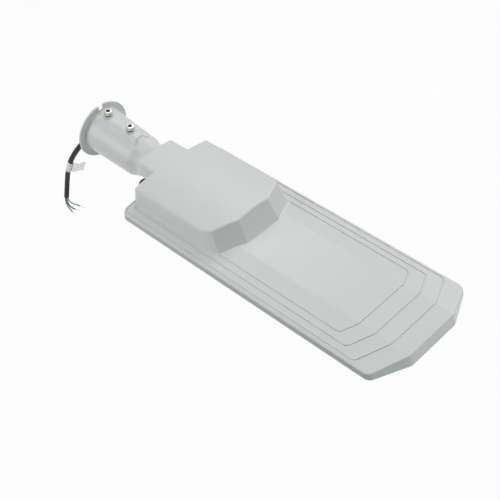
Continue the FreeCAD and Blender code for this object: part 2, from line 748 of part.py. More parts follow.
def driver():
    case = block(driver_x0, driver_x1, -driver_half, driver_half, driver_low_z, driver_top_z)
    case = case.makeFillet(2.0, [e for e in case.Edges if e.BoundBox.XLength > 50])
    ears = block(driver_x0 - driver_ear, driver_x1 + driver_ear, -driver_half + 4, driver_half - 4,
                 driver_top_z - driver_ear_t, driver_top_z)
    holes = [rod_z(m4_hole_r, x, y, driver_top_z - 5, driver_top_z + 1) for x, y in driver_holes]
    return case.fuse(ears).cut(holes)


def terminal_block():
    body = block(terminal_x0, terminal_x1, -terminal_half, terminal_half, terminal_low_z, terminal_top_z)
    cuts = []
    low = terminal_low_z - 1
    for i in (-1, 0, 1):
        y = i * pole_pitch
        for x in (terminal_x0 + 4, terminal_x1 - 4):
            cuts.append(rod_z(pinch_r + thread_gap, x, y, low, low + 5))
        for x0, x1 in ((terminal_x0 - 1, terminal_x0 + 3), (terminal_x1 - 3, terminal_x1 + 1)):
            cuts.append(rod_x(core_r + thread_gap, x0, x1, y, core_z))
    for y in (-pole_pitch / 2, pole_pitch / 2):
        cuts.append(rod_z(m3_hole_r, terminal_x, y, low, terminal_top_z + 1))
        cuts.append(rod_z(m3_head_r + 0.3, terminal_x, y, low, terminal_low_z + terminal_seat))
    return body.cut(cuts)


def cable_tag():
    """Folded label: a film sleeve that follows the cable, with a flat flag to one side."""
    a, b = V(*cable_route[7]), V(*cable_route[8])
    along = (b - a).normalize()
    start = (a + b) / 2 - along * (tag_height / 2 + tag_rise)
    reach = cable_r + tag_film + thread_gap
    sleeve = tube(cable_route, reach)[0].common(Part.makeCylinder(reach * 2, tag_height, start, along))
    side = V(*tag_side)
    side = (side - along * side.dot(along)).normalize()
    flat = along.cross(side) * tag_film
    corner = start + side * cable_r
    end = corner + along * tag_height
    corners = [corner - flat, end - flat, end + flat, corner + flat]
    flag = Part.Face(Part.makePolygon(corners + corners[:1])).extrude(side * tag_flag)
    return sleeve.fuse(flag).cut(tube(cable_route, cable_r + 0.05)[0])


def build_socket():
    """Pole socket with the pieces that hold it on the housing and on the pole."""
    save("spigot", spigot())
    end_x = box_rear_x - seal_t
    low, top = tongue_bottom_z + 0.5, tongue_top_z - 0.5
    seal = rect_prism(end_x, box_rear_x, tongue_half - 0.5, low, top, tongue_r - 0.5)
    reach = tongue_bolt_y - post_r - 1
    edge = tongue_wall - 0.5
    window = block(end_x - 1, box_rear_x + 1, -reach, reach, low + edge, top - edge)
    seat_x = inside_x + washer_t
    holes = group([rod_x(m6_hole_r, end_x - 1, seat_x + 1, y, z) for y, z in tongue_bolts])
    save("spigot_seal", seal.cut(window).cut(holes))
    save("spigot_washers", group([rod_x(washer_r, inside_x, seat_x, y, z) for y, z in tongue_bolts]).cut(holes))
    save("spigot_bolts", group([
        cap_screw((seat_x, y, z), (-1, 0, 0), tongue_screw_length, m6_head_r, m6_head_h, m6_r)
        for y, z in tongue_bolts]))

    seat = boss_height + clamp_stand
    clamps = group([cap_screw((s, 0, seat), (0, 0, -1), seat - pole_r, m8_head_r, m8_head_h, m8_r)
                    for s in boss_places])
    clamps.rotate(V(0, 0, 0), V(0, 1, 0), spigot_tilt)
    save("clamp_screws", clamps)


def build_entry():
    """Cable gland and breather plug in the rear wall."""
    save("gland_body", gland_body())
    save("gland_nut", gland_nut())
    save("gland_seal", gland_seal())
    lock_end = inside_x + lock_t
    lock = hex_bar(lock_across, (inside_x, 0, gland_z), (lock_end, 0, gland_z))
    save("gland_locknut", lock.cut(rod_x(gland_thread_r + thread_gap, inside_x - 1, lock_end + 1, 0, gland_z)))
    save("vent_plug", vent_plug())
    ring = rod_x(vent_seal_r, box_rear_x - vent_seal_t, box_rear_x, vent_y, vent_z)
    hole = rod_x(vent_thread_r + thread_gap, box_rear_x - 2, box_rear_x + 1, vent_y, vent_z)
    save("vent_seal", ring.cut(hole))


def build_driver_bay():
    """Terminals, earth point and LED driver, with the cores that join them."""
    entry_end = inside_x + 8
    save("cable_entry", rod_x(cable_r, gland_tip_x, entry_end, 0, gland_z))
    cores = []
    for i in (-1, 0, 1):
        y0, y1 = i * 2.3, i * pole_pitch
        z0 = gland_z + (1.2 if i == 0 else -0.9)
        start = [(entry_end, y0, z0), (entry_end + 4, y0, z0)]
        end = [(terminal_x0 - 4, y1, core_z), (terminal_x0 + 3, y1, core_z)]
        cores.append(tube(start + end, core_r)[0])
    save("inner_cores", group(cores))
    save("terminal_block", terminal_block())
    seat_z = terminal_low_z + terminal_seat
    fixing = [pan_screw(terminal_x, y, seat_z, terminal_top_z + 4 - seat_z, m3_head_r, m3_head_h, m3_r)
              for y in (-pole_pitch / 2, pole_pitch / 2)]
    pinch = [rod_z(pinch_r, x, i * pole_pitch, terminal_low_z + 0.8, terminal_low_z + 4)
             for i in (-1, 0, 1) for x in (terminal_x0 + 4, terminal_x1 - 4)]
    save("terminal_screws", group(fixing + pinch))
    leads = [rod_x(core_r, terminal_x1 - 3, driver_x0, i * pole_pitch, core_z) for i in (-1, 0, 1)]
    save("driver_leads", group(leads))
    save("led_driver", driver())
    save("driver_screws", group([
        pan_screw(x, y, driver_top_z - driver_ear_t, driver_screw_length, m4_head_r, m4_head_h, m4_r)
        for x, y in driver_holes]))
    lug = rod_x(5.0, inside_x, inside_x + lug_t, earth_y, earth_z)
    lug = lug.fuse(block(inside_x, inside_x + lug_t, earth_y - 8.5, earth_y, earth_z - 2, earth_z + 2))
    save("earth_lug", lug.cut(rod_x(m4_hole_r, inside_x - 1, inside_x + 2, earth_y, earth_z)))
    save("earth_screw", cap_screw((inside_x + lug_t, earth_y, earth_z), (-1, 0, 0), earth_screw_length,
                                  m4_head_r, m4_head_h, m4_r))


def build_optics():
    """LED board on its pad, with its leads, under the moulded lens plate."""
    connector_x0, connector_x1 = board_rear_x + 3, board_rear_x + 11
    wire_z = board_low_z - 1.5
    leads = []
    for s in (-1, 1):
        y = s * lead_half
        leads.append(tube([
            (driver_x1, y, lead_z), (driver_x1 + 4, y, lead_z), (bay_front_x - bay_ledge - 5, y, passage_z),
            (passage_end_x - 12, y, passage_z), (passage_end_x - 3, y, wire_z), (connector_x0, y, wire_z),
        ], lead_r)[0])
    save("led_leads", group(leads))
    save("board_connector", block(connector_x0, connector_x1, -5, 5, board_low_z - 2.8, board_low_z))
    save("thermal_pad", led_board(pad_low_z, pad_t))
    save("led_board", led_board(board_low_z, board_t))
    half = chip_width / 2
    save("led_chips", group([block(x - half, x + half, y - half, y + half, board_low_z - chip_t, board_low_z)
                             for x, y in led_places()]))
    save("board_screws", group([pan_screw(x, y, board_low_z, board_screw_length, m3_head_r, m3_head_h, m3_r)
                                for x, y in board_holes]))
    save("lens_plate", lens_plate())
    gasket = lens_plan(base_z + lens_t, 1.0, recess_depth - lens_t)
    gasket = gasket.cut(lens_plan(base_z, lens_ledge - 1.0, recess_depth + 1))
    save("lens_gasket", gasket.cut([rod_z(m4_hole_r, x, y, base_z, ledge_z + 1) for x, y in screw_places()]))
    save("lens_screws", group([pan_screw(x, y, base_z, lens_screw_length, m4_head_r, m4_head_h, m4_r)
                               for x, y in screw_places()]))


def build_cover():
    """Plate that closes the driver bay from below."""
    holes = [rod_z(m4_hole_r, x, y, base_z - 1, ledge_z + 1) for x, y in cover_places()]
    save("driver_cover", cover_plan(base_z, hole_gap, cover_t).cut(holes))
    inner_half = bay_half - bay_ledge - 2
    x0, x1 = bay_rear_x + bay_rear_ledge, bay_front_x - bay_ledge
    window = block(x0, x1, -inner_half, inner_half, base_z, ledge_z + 1)
    save("cover_gasket", cover_plan(base_z + cover_t, 1.0, recess_depth - cover_t).cut(window).cut(holes))
    save("cover_screws", group([pan_screw(x, y, base_z, cover_screw_length, m4_head_r, m4_head_h, m4_r)
                                for x, y in cover_places()]))


def build_cable():
    """Supply cable from the gland down through the pole socket, its label and its cut-back cores."""
    cord, length, radii = tube(cable_route, cable_r)
    save("supply_cable", cord)
    share = cord.Volume / (math.pi * cable_r ** 2 * length)
    print("supply cable length %.1f, volume share %.4f" % (length, share))
    print("bend radii", [round(r, 1) for r in radii])
    save("cable_tag", cable_tag())
    for name, route in (("wire_blue", blue_route), ("wire_brown", brown_route), ("wire_earth", earth_route)):
        wire, length, radii = tube(route, core_r)
        save(name, wire)
        print(name, "length %.1f" % length, "radii", [round(r, 1) for r in radii])


save("housing", housing())
build_socket()
build_entry()
build_driver_bay()
build_optics()
build_cover()
build_cable()
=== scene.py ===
import math

import bpy
import bmesh
from mathutils import Matrix, Vector


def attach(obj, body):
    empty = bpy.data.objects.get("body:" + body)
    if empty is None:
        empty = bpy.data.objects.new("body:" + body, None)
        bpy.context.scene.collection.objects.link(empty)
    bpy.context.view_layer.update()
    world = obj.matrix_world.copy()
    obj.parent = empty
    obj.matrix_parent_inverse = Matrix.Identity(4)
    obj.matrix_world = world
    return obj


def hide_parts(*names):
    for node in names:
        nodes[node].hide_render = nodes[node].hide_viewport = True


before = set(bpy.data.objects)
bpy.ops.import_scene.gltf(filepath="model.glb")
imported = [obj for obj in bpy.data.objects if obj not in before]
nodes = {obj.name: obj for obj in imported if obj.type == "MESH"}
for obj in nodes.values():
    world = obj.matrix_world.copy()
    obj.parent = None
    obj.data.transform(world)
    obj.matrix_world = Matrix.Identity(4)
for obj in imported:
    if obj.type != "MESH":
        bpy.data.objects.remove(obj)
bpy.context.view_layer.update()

# The camera stands high beside the tip, on the near side, and looks back towards the pole socket
cameraSetup = {
    "place": (1.10354, -0.74990, 0.99912),
    "right": (0.72327, 0.68867, -0.05110),
    "up": (-0.45652, 0.53235, 0.71288),
    "back": (0.51814, -0.49228, 0.69942),
    "lens": 75.6,
    "sensor": 36.0,
    "seesTo": 20.0,
}


def addCamera():
    camData = bpy.data.cameras.new("photoCamera")
    camData.sensor_width = cameraSetup["sensor"]
    camData.lens = cameraSetup["lens"]
    camData.clip_end = cameraSetup["seesTo"]
    camera = bpy.data.objects.new("photoCamera", camData)
    bpy.context.scene.collection.objects.link(camera)
    turn = Matrix((cameraSetup["right"], cameraSetup["up"], cameraSetup["back"])).transposed()
    camera.matrix_world = Matrix.Translation(cameraSetup["place"]) @ turn.to_4x4()
    bpy.context.scene.camera = camera


addCamera()
print("camera set")


# Small helpers for node materials

finishes = {}
noiseRange = (0.3, 0.7)  # most of a noise texture lies between these two


def newMaterial(name):
    mat = bpy.data.materials.new(name)
    mat.use_nodes = True
    finishes[name] = mat
    return mat.node_tree, mat.node_tree.nodes["Principled BSDF"]


def addNode(tree, kind, **settings):
    node = tree.nodes.new(kind)
    for key, value in settings.items():
        if key in node.inputs:
            node.inputs[key].default_value = value
        else:
            setattr(node, key, value)
    return node


def noise(tree, scale, detail=2.0, rough=0.5):
    coords = addNode(tree, "ShaderNodeTexCoord")
    tex = addNode(tree, "ShaderNodeTexNoise", Scale=scale, Detail=detail, Roughness=rough)
    tree.links.new(coords.outputs["Object"], tex.inputs["Vector"])
    return tex.outputs["Fac"]


def ramp(tree, source, stops):
    # stops is a list of (place, colour)
    node = addNode(tree, "ShaderNodeValToRGB")
    points = node.color_ramp.elements
    while len(points) < len(stops):
        points.new(0.5)
    for point, (place, colour) in zip(points, stops):
        point.position = place
        point.color = (*colour, 1.0)
    tree.links.new(source, node.inputs["Fac"])
    return node.outputs["Color"]


def twoTones(tree, source, dark, light, places=noiseRange):
    return ramp(tree, source, [(places[0], dark), (places[1], light)])


def span(tree, source, low, high, fromLow=noiseRange[0], fromHigh=noiseRange[1]):
    node = addNode(tree, "ShaderNodeMapRange")
    node.inputs["From Min"].default_value = fromLow
    node.inputs["From Max"].default_value = fromHigh
    node.inputs["To Min"].default_value = low
    node.inputs["To Max"].default_value = high
    tree.links.new(source, node.inputs["Value"])
    return node.outputs["Result"]


def bump(tree, shader, layers):
    # layers is a list of (height source, strength, distance in metres)
    last = None
    for source, strength, distance in layers:
        node = addNode(tree, "ShaderNodeBump", Strength=strength, Distance=distance)
        tree.links.new(source, node.inputs["Height"])
        if last:
            tree.links.new(last, node.inputs["Normal"])
        last = node.outputs["Normal"]
    tree.links.new(last, shader.inputs["Normal"])


def shade(colour, factor):
    return tuple(min(1.0, c * factor) for c in colour)


# Paint of the two castings: a pale grey powder coat with orange peel

powderCoat = {
    "colour": (0.640, 0.655, 0.648), "tone": 0.012, "cloud": 9.0, "cloudRange": (0.25, 0.75),
    "rough": 0.42, "smoother": 0.04, "rougher": 0.05, "roughPatch": 45.0,
    "specular": 0.45, "coat": 0.08, "coatRough": 0.25,
    "orangePeel": 520.0, "peelStrength": 0.35, "peelDepth": 0.00006,
    "fineGrain": 2600.0, "grainStrength": 0.3, "grainDepth": 0.00002,
}
socketCoat = {
    **powderCoat,
    "colour": (0.640, 0.662, 0.660), "rough": 0.38,
    "orangePeel": 420.0, "peelDepth": 0.00009,
}
# Painted light and shade on the housing's paint: colours for the near walls, the low rim and the tip face,
# and where they fade in
paintedSideShading = {
    "wall": (0.700, 0.722, 0.722),
    "rim": (0.440, 0.478, 0.484),
    "tip": (0.800, 0.870, 0.875),
    "rimFull": -0.0192, "rimTop": -0.0178,
    "tipFrom": 0.605, "tipFull": 0.607,
    "facingFrom": 0.60, "facingFull": 0.95,
}


def paintSideShading(tree, base):
    # Painted light and shade on faces towards the near side: the walls painted a little paler, the low rim
    # painted darker and bluer as shade.
    # The face of the tip is painted paler again, as painted light.
    surface = addNode(tree, "ShaderNodeNewGeometry")
    facing = addNode(tree, "ShaderNodeSeparateXYZ")
    tree.links.new(surface.outputs["Normal"], facing.inputs[0])
    coords = addNode(tree, "ShaderNodeTexCoord")
    place = addNode(tree, "ShaderNodeSeparateXYZ")
    tree.links.new(coords.outputs["Object"], place.inputs[0])

    nearFaces = span(tree, facing.outputs["Y"], 1.0, 0.0, -paintedSideShading["facingFull"], -paintedSideShading["facingFrom"])
    level = span(tree, place.outputs["Z"], 0.0, 1.0, paintedSideShading["rimFull"], paintedSideShading["rimTop"])
    nearPaintedShading = ramp(tree, level, [(0.0, paintedSideShading["rim"]), (1.0, paintedSideShading["wall"])])

    endFaces = span(tree, facing.outputs["X"], 0.0, 1.0, paintedSideShading["facingFrom"], paintedSideShading["facingFull"])
    farOut = span(tree, place.outputs["X"], 0.0, 1.0, paintedSideShading["tipFrom"], paintedSideShading["tipFull"])
    tipFaces = addNode(tree, "ShaderNodeMath", operation="MULTIPLY")
    tree.links.new(endFaces, tipFaces.inputs[0])
    tree.links.new(farOut, tipFaces.inputs[1])
    tipPaintedLight = ramp(tree, tipFaces.outputs[0], [(0.0, paintedSideShading["wall"]), (1.0, paintedSideShading["tip"])])

    withPaintedShading = base
    for share, colour in ((nearFaces, nearPaintedShading), (tipFaces.outputs[0], tipPaintedLight)):
        mix = addNode(tree, "ShaderNodeMixRGB")
        tree.links.new(share, mix.inputs["Fac"])
        tree.links.new(withPaintedShading, mix.inputs["Color1"])
        tree.links.new(colour, mix.inputs["Color2"])
        withPaintedShading = mix.outputs[0]
    return withPaintedShading


def makePowderCoat(name, look, withPaintedShading=False):
    tree, shader = newMaterial(name)
    dark = shade(look["colour"], 1 - look["tone"])
    light = shade(look["colour"], 1 + look["tone"])
    clouds = noise(tree, look["cloud"], detail=4.0, rough=0.6)
    cloudy = twoTones(tree, clouds, dark, light, look["cloudRange"])
    tree.links.new(paintSideShading(tree, cloudy) if withPaintedShading else cloudy, shader.inputs["Base Color"])
    rough = span(tree, noise(tree, look["roughPatch"], detail=4.0),
                 look["rough"] - look["smoother"], look["rough"] + look["rougher"])
    tree.links.new(rough, shader.inputs["Roughness"])
    shader.inputs["Specular IOR Level"].default_value = look["specular"]
    shader.inputs["Coat Weight"].default_value = look["coat"]
    shader.inputs["Coat Roughness"].default_value = look["coatRough"]
    bump(tree, shader, [
        (noise(tree, look["orangePeel"]), look["peelStrength"], look["peelDepth"]),
        (noise(tree, look["fineGrain"], detail=1.0), look["grainStrength"], look["grainDepth"]),
    ])


# Plain finishes: patch and grain are the noise's scales, grainDepth is in metres

plainFinishes = {
    "zincPlate": {"colour": (0.52, 0.49, 0.44), "metal": 1.0, "rough": 0.32, "roughSpread": 0.08,
                  "patch": 160.0, "tone": 0.10, "grain": 3000.0, "grainDepth": 0.00001},
    "screwSteel": {"colour": (0.58, 0.545, 0.49), "metal": 1.0, "rough": 0.24, "roughSpread": 0.06,
                   "patch": 260.0, "tone": 0.14, "grain": 5200.0, "grainDepth": 0.00001},
    # near black painted shade for the clamp screws' threads and hex sockets
    "screwPaintedShade": {"colour": (0.030, 0.022, 0.018), "metal": 0.0, "rough": 0.6, "roughSpread": 0.08,
                   "patch": 260.0, "tone": 0.20, "grain": 3000.0, "grainDepth": 0.00002},
    "blackPlastic": {"colour": (0.022, 0.022, 0.024), "metal": 0.0, "rough": 0.45, "roughSpread": 0.07,
                     "patch": 60.0, "tone": 0.15, "grain": 2400.0, "grainDepth": 0.00004},
    "rubberSeal": {"colour": (0.018, 0.018, 0.018), "metal": 0.0, "rough": 0.7, "roughSpread": 0.08,
                   "patch": 80.0, "tone": 0.15, "grain": 1600.0, "grainDepth": 0.00004},
    "greySilicone": {"colour": (0.22, 0.22, 0.22), "metal": 0.0, "rough": 0.6, "roughSpread": 0.08,
                     "patch": 80.0, "tone": 0.06, "grain": 1500.0, "grainDepth": 0.00003},
    "whitePlastic": {"colour": (0.74, 0.74, 0.71), "metal": 0.0, "rough": 0.35, "roughSpread": 0.06,
                     "patch": 60.0, "tone": 0.03, "grain": 1800.0, "grainDepth": 0.00002},
    "driverCase": {"colour": (0.62, 0.63, 0.64), "metal": 0.9, "rough": 0.38, "roughSpread": 0.08,
                   "patch": 40.0, "tone": 0.05, "grain": 1400.0, "grainDepth": 0.00002},
    "brassLug": {"colour": (0.62, 0.47, 0.22), "metal": 1.0, "rough": 0.3, "roughSpread": 0.08,
                 "patch": 120.0, "tone": 0.10, "grain": 2000.0, "grainDepth": 0.00001},
    "thermalPad": {"colour": (0.36, 0.40, 0.46), "metal": 0.0, "rough": 0.75, "roughSpread": 0.05,
                   "patch": 60.0, "tone": 0.05, "grain": 1400.0, "grainDepth": 0.00004},
    "boardMask": {"colour": (0.80, 0.82, 0.80), "metal": 0.0, "rough": 0.3, "roughSpread": 0.05,
                  "patch": 90.0, "tone": 0.02, "grain": 700.0, "grainDepth": 0.00002},
    "coreBlue": {"colour": (0.110, 0.500, 0.590), "metal": 0.0, "rough": 0.38, "roughSpread": 0.06,
                 "patch": 140.0, "tone": 0.10, "grain": 1500.0, "grainDepth": 0.00002},
    "coreBrown": {"colour": (0.520, 0.200, 0.180), "metal": 0.0, "rough": 0.38, "roughSpread": 0.06,
                  "patch": 140.0, "tone": 0.12, "grain": 1500.0, "grainDepth": 0.00002},
    "tinnedCopper": {"colour": (0.70, 0.67, 0.62), "metal": 1.0, "rough": 0.3, "roughSpread": 0.08,
                     "patch": 500.0, "tone": 0.08, "grain": 4000.0, "grainDepth": 0.00001},
    "phosphor": {"colour": (0.84, 0.70, 0.12), "metal": 0.0, "rough": 0.3, "roughSpread": 0.04,
                 "patch": 700.0, "tone": 0.06, "grain": 5000.0, "grainDepth": 0.00001},
    "packageWhite": {"colour": (0.82, 0.82, 0.80), "metal": 0.0, "rough": 0.4, "roughSpread": 0.04,
                     "patch": 400.0, "tone": 0.03, "grain": 4000.0, "grainDepth": 0.00001},
}
roughFiner = 3.1  # the roughness changes over smaller patches than the tone
grainStrength = 0.5


def makePlainFinish(name, look):
    # Uneven tone and roughness with a fine grain
    tree, shader = newMaterial(name)
    shader.inputs["Metallic"].default_value = look["metal"]
    dark = shade(look["colour"], 1 - look["tone"])
    light = shade(look["colour"], 1 + look["tone"])
    tone = twoTones(tree, noise(tree, look["patch"], detail=3.0), dark, light)
    tree.links.new(tone, shader.inputs["Base Color"])
    rough = span(tree, noise(tree, look["patch"] * roughFiner, detail=4.0),
                 look["rough"] - look["roughSpread"], look["rough"] + look["roughSpread"])
    tree.links.new(rough, shader.inputs["Roughness"])
    bump(tree, shader, [(noise(tree, look["grain"]), grainStrength, look["grainDepth"])])


sheathLook = {
    "dark": (0.008, 0.008, 0.008), "light": (0.014, 0.014, 0.014), "patch": 70.0,
    "smooth": 0.36, "rough": 0.52, "roughPatch": 120.0, "specular": 0.2,
    "dents": 340.0, "dentStrength": 0.4, "dentDepth": 0.00012,
    "grain": 2200.0, "grainStrength": 0.3, "grainDepth": 0.00002,
}


def makeSheath():
    # Black cable sheath, dull, with a faintly uneven skin
    look = sheathLook
    tree, shader = newMaterial("cableSheath")
    tone = twoTones(tree, noise(tree, look["patch"], detail=4.0), look["dark"], look["light"])
    tree.links.new(tone, shader.inputs["Base Color"])
    rough = span(tree, noise(tree, look["roughPatch"], detail=4.0), look["smooth"], look["rough"])
    tree.links.new(rough, shader.inputs["Roughness"])
    shader.inputs["Specular IOR Level"].default_value = look["specular"]
    bump(tree, shader, [
        (noise(tree, look["dents"], detail=3.0), look["dentStrength"], look["dentDepth"]),
        (noise(tree, look["grain"], detail=1.0), look["grainStrength"], look["grainDepth"]),
    ])


earthStripe = {
    "green": (0.190, 0.500, 0.450),
    "yellow": (0.700, 0.680, 0.170),
    "share": 0.36, "edge": 0.02,
    "turnsPerMillimetre": 0.016,
    "start": 0.45,
    "smooth": 0.32, "rough": 0.46, "roughPatch": 300.0,
    "grain": 1500.0, "grainStrength": 0.4, "grainDepth": 0.00002,
}


def makeEarthCore():
    # Green core with a yellow stripe that winds slowly round it
    look = earthStripe
    tree, shader = newMaterial("coreGreenYellow")
    uv = addNode(tree, "ShaderNodeUVMap", uv_map="along")
    axes = addNode(tree, "ShaderNodeSeparateXYZ")
    tree.links.new(uv.outputs["UV"], axes.inputs[0])
    wound = addNode(tree, "ShaderNodeMath", operation="MULTIPLY_ADD")
    wound.inputs[1].default_value = look["turnsPerMillimetre"]
    tree.links.new(axes.outputs["X"], wound.inputs[0])
    tree.links.new(axes.outputs["Y"], wound.inputs[2])
    shifted = addNode(tree, "ShaderNodeMath", operation="ADD")
    shifted.inputs[1].default_value = look["start"]
    tree.links.new(wound.outputs[0], shifted.inputs[0])
    turn = addNode(tree, "ShaderNodeMath", operation="FRACT")
    tree.links.new(shifted.outputs[0], turn.inputs[0])
    stripe = ramp(tree, turn.outputs[0], [
        (0.0, look["green"]), (look["edge"], look["yellow"]),
        (look["share"], look["yellow"]), (look["share"] + look["edge"], look["green"]),
    ])
    tree.links.new(stripe, shader.inputs["Base Color"])
    rough = span(tree, noise(tree, look["roughPatch"], detail=3.0), look["smooth"], look["rough"])
    tree.links.new(rough, shader.inputs["Roughness"])
    bump(tree, shader, [(noise(tree, look["grain"]), look["grainStrength"], look["grainDepth"])])


filmLook = {
    "dark": (0.90, 0.90, 0.93), "light": (0.96, 0.96, 0.98), "patch": 120.0,
    "smooth": 0.32, "rough": 0.5, "roughPatch": 200.0,
    "opacity": {"labelFilm": (0.90, 0.98), "flagFilm": (0.12, 0.24)}, "opacityPatch": 90.0,
    "glow": 0.15, "glowReach": (0.001, 0.001, 0.001),
    "creases": 110.0, "creaseStrength": 0.5, "creaseDepth": 0.0003,
    "grain": 900.0, "grainStrength": 0.3, "grainDepth": 0.00003,
}


def makeFilm(name, thin, thick):
    # White film of the cable's label, creased and more or less see-through
    look = filmLook
    tree, shader = newMaterial(name)
    tone = twoTones(tree, noise(tree, look["patch"], detail=4.0), look["dark"], look["light"])
    tree.links.new(tone, shader.inputs["Base Color"])
    rough = span(tree, noise(tree, look["roughPatch"], detail=3.0), look["smooth"], look["rough"])
    tree.links.new(rough, shader.inputs["Roughness"])
    opacity = span(tree, noise(tree, look["opacityPatch"]), thin, thick)
    tree.links.new(opacity, shader.inputs["Alpha"])
    shader.inputs["Subsurface Weight"].default_value = look["glow"]
    shader.inputs["Subsurface Radius"].default_value = look["glowReach"]
    bump(tree, shader, [
        (noise(tree, look["creases"]), look["creaseStrength"], look["creaseDepth"]),
        (noise(tree, look["grain"]), look["grainStrength"], look["grainDepth"]),
    ])


lensLook = {
    "colour": (0.93, 0.96, 0.98), "clear": 0.88, "refraction": 1.49,
    "smooth": 0.05, "rough": 0.14, "roughPatch": 60.0,
    "ripple": 400.0, "rippleStrength": 0.2, "rippleDepth": 0.00003,
}


def makeLensPlastic():
    # Clear moulded polycarbonate with a slightly hazy skin
    look = lensLook
    tree, shader = newMaterial("lensPlastic")
    shader.inputs["Base Color"].default_value = (*look["colour"], 1.0)
    shader.inputs["Transmission Weight"].default_value = look["clear"]
    shader.inputs["IOR"].default_value = look["refraction"]
    rough = span(tree, noise(tree, look["roughPatch"], detail=3.0), look["smooth"], look["rough"])
    tree.links.new(rough, shader.inputs["Roughness"])
    bump(tree, shader, [(noise(tree, look["ripple"]), look["rippleStrength"], look["rippleDepth"])])


# The housing's paint carries painted light and shade on its near side and at its tip
makePowderCoat("bodyPaint", powderCoat, withPaintedShading=True)
makePowderCoat("spigotPaint", socketCoat)
for finishName, finishLook in plainFinishes.items():
    makePlainFinish(finishName, finishLook)
makeSheath()
makeEarthCore()
for filmName, (thinnest, thickest) in filmLook["opacity"].items():
    makeFilm(filmName, thinnest, thickest)
makeLensPlastic()

wornBy = {
    "bodyPaint": ("housing", "driver_cover"),
    "spigotPaint": ("spigot",),
    "rubberSeal": ("spigot_seal", "vent_seal", "gland_seal"),
    "greySilicone": ("lens_gasket", "cover_gasket"),
    "blackPlastic": ("gland_body", "gland_nut", "gland_locknut", "vent_plug"),
    "zincPlate": ("spigot_washers", "spigot_bolts", "clamp_screws", "terminal_screws", "driver_screws",
                  "earth_screw", "board_screws", "lens_screws", "cover_screws"),
    "cableSheath": ("cable_entry", "supply_cable"),
    "coreBlue": ("inner_cores", "wire_blue"),
    "coreBrown": ("driver_leads", "led_leads", "wire_brown"),
    "coreGreenYellow": ("wire_earth",),
    "labelFilm": ("cable_tag",),
    "whitePlastic": ("terminal_block", "board_connector"),
    "driverCase": ("led_driver",),
    "brassLug": ("earth_lug",),
    "thermalPad": ("thermal_pad",),
    "boardMask": ("led_board",),
    "phosphor": ("led_chips",),
    "lensPlastic": ("lens_plate",),
}
for finishName, nodeNames in wornBy.items():
    for nodeName in nodeNames:
        nodes[nodeName].data.materials.clear()
        nodes[nodeName].data.materials.append(finishes[finishName])
print("materials on", sum(len(names) for names in wornBy.values()), "of", len(nodes), "nodes")


# Mesh helpers

cordSmoothness = 14  # points of the smooth line for each of the route's
sameSpot = {"within": 1e-7, "along": 1e-5, "onward": 1e-6}


def addMesh(name, verts, faces, finishNames=(), smooth=True):
    mesh = bpy.data.meshes.new(name)
    mesh.from_pydata([tuple(v) for v in verts], [], faces)
    mesh.update()
    for finishName in finishNames:
        mesh.materials.append(finishes[finishName])
    obj = bpy.data.objects.new(name, mesh)
    bpy.context.scene.collection.objects.link(obj)
    for poly in mesh.polygons:
        poly.use_smooth = smooth
    return obj


def softenEdges(obj, angle):
    # Smooth shading apart from edges that turn by more than the angle
    mesh = bmesh.new()
    mesh.from_mesh(obj.data)
    bmesh.ops.recalc_face_normals(mesh, faces=mesh.faces)
    for edge in mesh.edges:
        edge.smooth = len(edge.link_faces) == 2 and edge.calc_face_angle(0.0) < math.radians(angle)
    mesh.to_mesh(obj.data)
    mesh.free()


def between(value, none, full):
    # 0 at none, 1 at full and an even share of the way in between
    return min(1.0, max(0.0, (value - none) / (full - none)))


def eased(share):
    return share * share * (3.0 - 2.0 * share)


def softMax(a, b, soft):
    return (a + b + math.sqrt((a - b) ** 2 + soft ** 2)) / 2


def around(centre, side, over, radius, turn):
    return centre + side * (radius * math.cos(turn)) + over * (radius * math.sin(turn))


def ringFaces(count, sides):
    # Faces between rings with the same number of sides, closed at both ends
    faces = []
    for j in range(count - 1):
        for k in range(sides):
            nxt = (k + 1) % sides
            faces.append((j * sides + k, j * sides + nxt, (j + 1) * sides + nxt, (j + 1) * sides + k))
    faces.append(tuple(reversed(range(sides))))
    faces.append(tuple((count - 1) * sides + k for k in range(sides)))
    return faces


def renumbered(faces, start):
    return [tuple(index + start for index in face) for face in faces]


def routePoints(route):
    # Points along the smooth line that has the route's points as its control points
    curve = bpy.data.curves.new("routeLine", "CURVE")
    curve.dimensions = "3D"
    curve.resolution_u = cordSmoothness
    spline = curve.splines.new("NURBS")
    spline.points.add(len(route) - 1)
    for point, place in zip(spline.points, route):
        point.co = (*place, 1.0)
    spline.order_u = 3
    spline.use_endpoint_u = True
    holder = bpy.data.objects.new("routeLine", curve)
    bpy.context.scene.collection.objects.link(holder)
    bpy.context.view_layer.update()
    mesh = bpy.data.meshes.new_from_object(holder.evaluated_get(bpy.context.evaluated_depsgraph_get()))
    points = [v.co.copy() for v in mesh.vertices]
    bpy.data.objects.remove(holder)
    bpy.data.curves.remove(curve)
    bpy.data.meshes.remove(mesh)
    if (points[0] - Vector(route[0])).length > (points[-1] - Vector(route[0])).length:
        points.reverse()
    return points


def distances(points):
    total = [0.0]
    for a, b in zip(points, points[1:]):
        total.append(total[-1] + (b - a).length)
    return total


def frames(points):
    # A heading and two side directions at each point, turned along with the line
    result = []
    side = None
    for i in range(len(points)):
        heading = (points[min(i + 1, len(points) - 1)] - points[max(i - 1, 0)]).normalized()
        if side is None:
            side = heading.orthogonal().normalized()
        side = (side - heading * side.dot(heading)).normalized()
        result.append((heading, side.copy(), heading.cross(side)))
    return result


def pointAt(points, lengths, place):
    place = max(0.0, min(place, lengths[-1]))
    for i in range(len(points) - 1):
        if place <= lengths[i + 1] or i == len(points) - 2:
            share = (place - lengths[i]) / max(lengths[i + 1] - lengths[i], 1e-9)
            return points[i].lerp(points[i + 1], share)


